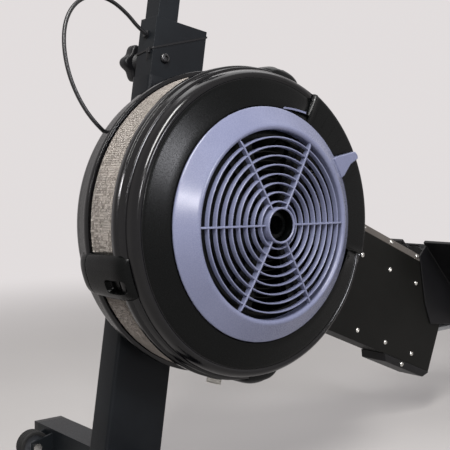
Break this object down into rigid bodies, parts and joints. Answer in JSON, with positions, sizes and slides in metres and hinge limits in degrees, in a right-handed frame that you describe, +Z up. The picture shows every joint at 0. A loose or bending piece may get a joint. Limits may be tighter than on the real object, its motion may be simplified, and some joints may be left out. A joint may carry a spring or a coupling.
{
  "type": "rowing machine",
  "caption": "Air rowing machine: caged fan flywheel with damper dial, sloping bolted beam, folding monitor mast, strap handle and a seat rolling on a rail.",
  "frame": {"origin": "centre of the whole machine's box, on the floor", "axes": "+X towards the rower's end, -Y towards the damper side, +Z up"},
  "size_m": [2.424, 0.6, 1.1687],
  "materials": {
    "frame_slate": "satin slate grey enamel",
    "cap_bronze": "satin warm grey enamel",
    "cover_black": "fine textured black",
    "dial_grey": "moulded blue grey",
    "cup_grey": "moulded dark grey",
    "trim_black": "moulded black",
    "mesh_steel": "taupe coated steel mesh",
    "bolt_zinc": "bright zinc",
    "bolt_black": "blackened steel",
    "track_steel": "ground steel",
    "rail_aluminium": "satin anodised",
    "fan_aluminium": "dark anodised sheet",
    "wheel_iron": "dark cast",
    "wheel_rubber": "moulded black",
    "grip_rubber": "soft foam black",
    "strap_web": "woven black webbing",
    "pad_black": "grained upholstery",
    "screen_gloss": "dark display lens",
    "cable_black": "smooth black jacket"
  },
  "bodies": {
    "frame": {"front_post": "frame_slate", "mast_fork": "frame_slate", "pivot_bolt": "bolt_black", "beam_plate_near": "frame_slate", "beam_plate_far": "frame_slate", "beam_top_cap": "cap_bronze", "beam_floor": "frame_slate", "beam_skid": "trim_black", "frame_bolts": "bolt_zinc", "front_stabiliser": "frame_slate", "wheel_axles": "bolt_zinc", "end_caps": "trim_black", "foot_pads": "wheel_rubber", "rail": "rail_aluminium", "rail_track": "track_steel", "rail_end_cap": "trim_black", "rail_stops": "wheel_rubber", "rear_leg": "frame_slate", "near_cover": "cover_black", "far_cover": "cover_black", "mesh_band": "mesh_steel", "vent_guard": "cover_black", "housing_clamps": "cover_black", "cover_standoffs": "bolt_zinc", "axle_bearings": "track_steel", "recoil_case": "trim_black", "roller_pin": "track_steel", "strap_run": "strap_web", "handle_cradle": "trim_black", "foot_board_near": "trim_black", "foot_board_far": "trim_black", "foot_straps": "strap_web", "sensor_cable": "cable_black", "cable_glands": "trim_black"},
    "flywheel": {"axle": "track_steel", "fan_wheel": "fan_aluminium", "flywheel_disc": "wheel_iron"},
    "spool": {"drive_spool": "trim_black"},
    "damper": {"damper_dial": "dial_grey", "damper_shutter": "cover_black"},
    "strap_roller": {"guide_roller": "trim_black"},
    "handle": {"handle_bar": "frame_slate", "handle_grips": "grip_rubber", "pull_strap": "strap_web"},
    "seat": {"seat_carriage": "frame_slate", "seat_axles": "track_steel", "seat_pad": "pad_black"},
    "front_rollers": {"seat_rollers_front": "trim_black"},
    "rear_rollers": {"seat_rollers_rear": "trim_black"},
    "keepers": {"keeper_rollers": "trim_black"},
    "heel_near": {"heel_cup_near": "cup_grey"},
    "heel_far": {"heel_cup_far": "cup_grey"},
    "wheel_near": {"transport_wheel_near": "wheel_rubber"},
    "wheel_far": {"transport_wheel_far": "wheel_rubber"},
    "mast": {"monitor_arm": "frame_slate", "monitor_bracket": "trim_black"},
    "monitor": {"monitor_case": "cup_grey", "monitor_screen": "screen_gloss"},
    "knob": {"mast_knob": "trim_black"}
  },
  "joints": [
    {"name": "flywheel_spin", "type": "hinge", "parent": "frame", "child": "flywheel", "pos_m": [-0.93802, 0, 0.48], "axis": [0, 1, 0], "continuous": true},
    {"name": "damper_turn", "type": "hinge", "parent": "frame", "child": "damper", "pos_m": [-0.93802, -0.238, 0.48], "axis": [0, -1, 0], "range_deg": [-36, 22]},
    {"name": "handle_pull", "type": "slide", "parent": "frame", "child": "handle", "axis": [0.9816, 0, 0.1908], "range_m": [0, 1.2], "stiffness_N_per_m": 12, "springref_m": -1.2, "deforming": ["pull_strap"]},
    {"name": "spool_turn", "type": "hinge", "parent": "frame", "child": "spool", "pos_m": [-0.93802, 0, 0.48], "axis": [0, 1, 0], "continuous": true},
    {"name": "strap_roller_turn", "type": "hinge", "parent": "frame", "child": "strap_roller", "pos_m": [-0.20302, 0, 0.322], "axis": [0, 1, 0], "continuous": true},
    {"name": "seat_slide", "type": "slide", "parent": "frame", "child": "seat", "axis": [0.9998, 0, 0.0209], "range_m": [0, 0.88]},
    {"name": "front_rollers_turn", "type": "hinge", "parent": "seat", "child": "front_rollers", "pos_m": [0.12151, 0, 0.31059], "axis": [0, 1, 0], "continuous": true},
    {"name": "rear_rollers_turn", "type": "hinge", "parent": "seat", "child": "rear_rollers", "pos_m": [0.24149, 0, 0.31311], "axis": [0, 1, 0], "continuous": true},
    {"name": "keepers_turn", "type": "hinge", "parent": "seat", "child": "keepers", "pos_m": [0.18234, 0, 0.27176], "axis": [0, 1, 0], "continuous": true},
    {"name": "heel_near_slide", "type": "slide", "parent": "frame", "child": "heel_near", "axis": [-0.6947, 0, 0.7193], "range_m": [-0.025, 0.025]},
    {"name": "heel_far_slide", "type": "slide", "parent": "frame", "child": "heel_far", "axis": [-0.6947, 0, 0.7193], "range_m": [-0.025, 0.025]},
    {"name": "wheel_near_roll", "type": "hinge", "parent": "frame", "child": "wheel_near", "pos_m": [-1.13234, -0.236, 0.034], "axis": [0, 1, 0], "continuous": true},
    {"name": "wheel_far_roll", "type": "hinge", "parent": "frame", "child": "wheel_far", "pos_m": [-1.13234, 0.236, 0.034], "axis": [0, 1, 0], "continuous": true},
    {"name": "mast_fold", "type": "hinge", "parent": "frame", "child": "mast", "pos_m": [-0.99595, 0, 0.77229], "axis": [0, 1, 0], "range_deg": [0, 80]},
    {"name": "monitor_tilt", "type": "hinge", "parent": "mast", "child": "monitor", "pos_m": [-0.93185, 0, 1.06108], "axis": [0, 1, 0], "range_deg": [-20, 20]},
    {"name": "knob_turn", "type": "hinge", "parent": "frame", "child": "knob", "pos_m": [-0.99595, 0.05, 0.77229], "axis": [0, 1, 0], "continuous": true}
  ],
  "couplings": [
    {"joint": "spool_turn", "follows": "handle_pull", "rad_per_m": 21.598},
    {"joint": "strap_roller_turn", "follows": "handle_pull", "rad_per_m": -81.301},
    {"joint": "front_rollers_turn", "follows": "seat_slide", "rad_per_m": 62.5},
    {"joint": "rear_rollers_turn", "follows": "seat_slide", "rad_per_m": 62.5},
    {"joint": "keepers_turn", "follows": "seat_slide", "rad_per_m": -125}
  ]
}
